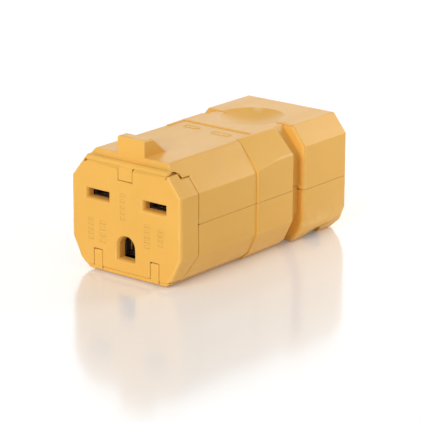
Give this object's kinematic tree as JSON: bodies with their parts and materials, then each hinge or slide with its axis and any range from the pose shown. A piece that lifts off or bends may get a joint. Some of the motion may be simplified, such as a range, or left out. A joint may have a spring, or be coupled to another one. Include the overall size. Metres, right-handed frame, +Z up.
{
  "type": "cord connector",
  "caption": "Straight-blade female cord connector with a hinged two-shell plastic body, a grounded slot face, screw terminals inside, toothed cord jaws and captive assembly screws.",
  "frame": {"origin": "centre of the bounding box's bottom face, on the surface that the connector lies on", "axes": "+Z up, +X to the right of somebody who looks at the mating face, +Y from the mating face to the cord end"},
  "size_m": [0.036, 0.068, 0.0355],
  "materials": {
    "yellow_nylon": "moulded orange-yellow nylon, satin",
    "dark_nylon": "moulded dark brown thermoplastic, matt",
    "contact_brass": "stamped brass",
    "spring_steel": "spring steel",
    "plated_steel": "zinc-plated steel",
    "green_screw": "green-dyed plated steel"
  },
  "bodies": {
    "base": {"base_shell": "yellow_nylon", "face_body": "yellow_nylon", "contact_carrier": "dark_nylon", "line_contact_left": "contact_brass", "line_contact_right": "contact_brass", "ground_contact": "contact_brass", "contact_spring_left": "spring_steel", "contact_spring_right": "spring_steel", "contact_spring_ground": "spring_steel", "hinge_pin": "plated_steel", "lower_cord_jaw": "yellow_nylon"},
    "cover": {"hinged_cover": "yellow_nylon", "upper_cord_jaw": "yellow_nylon", "threaded_insert_left": "contact_brass", "threaded_insert_right": "contact_brass"},
    "left_clamp": {"clamp_plate_left": "plated_steel"},
    "left_terminal_screw": {"terminal_screw_left": "contact_brass"},
    "right_clamp": {"clamp_plate_right": "plated_steel"},
    "right_terminal_screw": {"terminal_screw_right": "contact_brass"},
    "ground_clamp": {"clamp_plate_ground": "plated_steel"},
    "ground_terminal_screw": {"terminal_screw_ground": "green_screw"},
    "left_assembly_washer": {"captive_washer_left": "plated_steel"},
    "left_assembly_screw": {"assembly_screw_left": "plated_steel"},
    "right_assembly_washer": {"captive_washer_right": "plated_steel"},
    "right_assembly_screw": {"assembly_screw_right": "plated_steel"}
  },
  "joints": [
    {"name": "cover_hinge", "type": "hinge", "parent": "base", "child": "cover", "pos_m": [0, -0.0318, 0.0266], "axis": [1, 0, 0], "range_deg": [0, 75]},
    {"name": "left_clamp_lift", "type": "slide", "parent": "base", "child": "left_clamp", "axis": [0, 0, 1], "range_m": [0, 0.00168]},
    {"name": "left_terminal_turn", "type": "hinge", "parent": "left_clamp", "child": "left_terminal_screw", "pos_m": [-0.00913, -0.0024, 0.02], "axis": [0, 0, 1], "range_deg": [0, 864]},
    {"name": "right_clamp_lift", "type": "slide", "parent": "base", "child": "right_clamp", "axis": [0, 0, 1], "range_m": [0, 0.00168]},
    {"name": "right_terminal_turn", "type": "hinge", "parent": "right_clamp", "child": "right_terminal_screw", "pos_m": [0.00913, -0.0024, 0.02], "axis": [0, 0, 1], "range_deg": [0, 864]},
    {"name": "ground_clamp_lift", "type": "slide", "parent": "base", "child": "ground_clamp", "axis": [0, 0, 1], "range_m": [0, 0.00168]},
    {"name": "ground_terminal_turn", "type": "hinge", "parent": "ground_clamp", "child": "ground_terminal_screw", "pos_m": [0, 0.0024, 0.02], "axis": [0, 0, 1], "range_deg": [0, 864]},
    {"name": "left_screw_travel", "type": "slide", "parent": "base", "child": "left_assembly_washer", "axis": [0, 0, -1], "range_m": [0, 0.00189]},
    {"name": "left_screw_turn", "type": "hinge", "parent": "left_assembly_washer", "child": "left_assembly_screw", "pos_m": [-0.0132, 0.0236, 0.004], "axis": [0, 0, -1], "range_deg": [0, 972]},
    {"name": "right_screw_travel", "type": "slide", "parent": "base", "child": "right_assembly_washer", "axis": [0, 0, -1], "range_m": [0, 0.00189]},
    {"name": "right_screw_turn", "type": "hinge", "parent": "right_assembly_washer", "child": "right_assembly_screw", "pos_m": [0.0132, 0.0236, 0.004], "axis": [0, 0, -1], "range_deg": [0, 972]}
  ],
  "couplings": [
    {"joint": "left_terminal_turn", "follows": "left_clamp_lift", "rad_per_m": 8975.9},
    {"joint": "right_terminal_turn", "follows": "right_clamp_lift", "rad_per_m": 8975.9},
    {"joint": "ground_terminal_turn", "follows": "ground_clamp_lift", "rad_per_m": 8975.9},
    {"joint": "left_screw_turn", "follows": "left_screw_travel", "rad_per_m": 8975.9},
    {"joint": "right_screw_turn", "follows": "right_screw_travel", "rad_per_m": 8975.9}
  ]
}
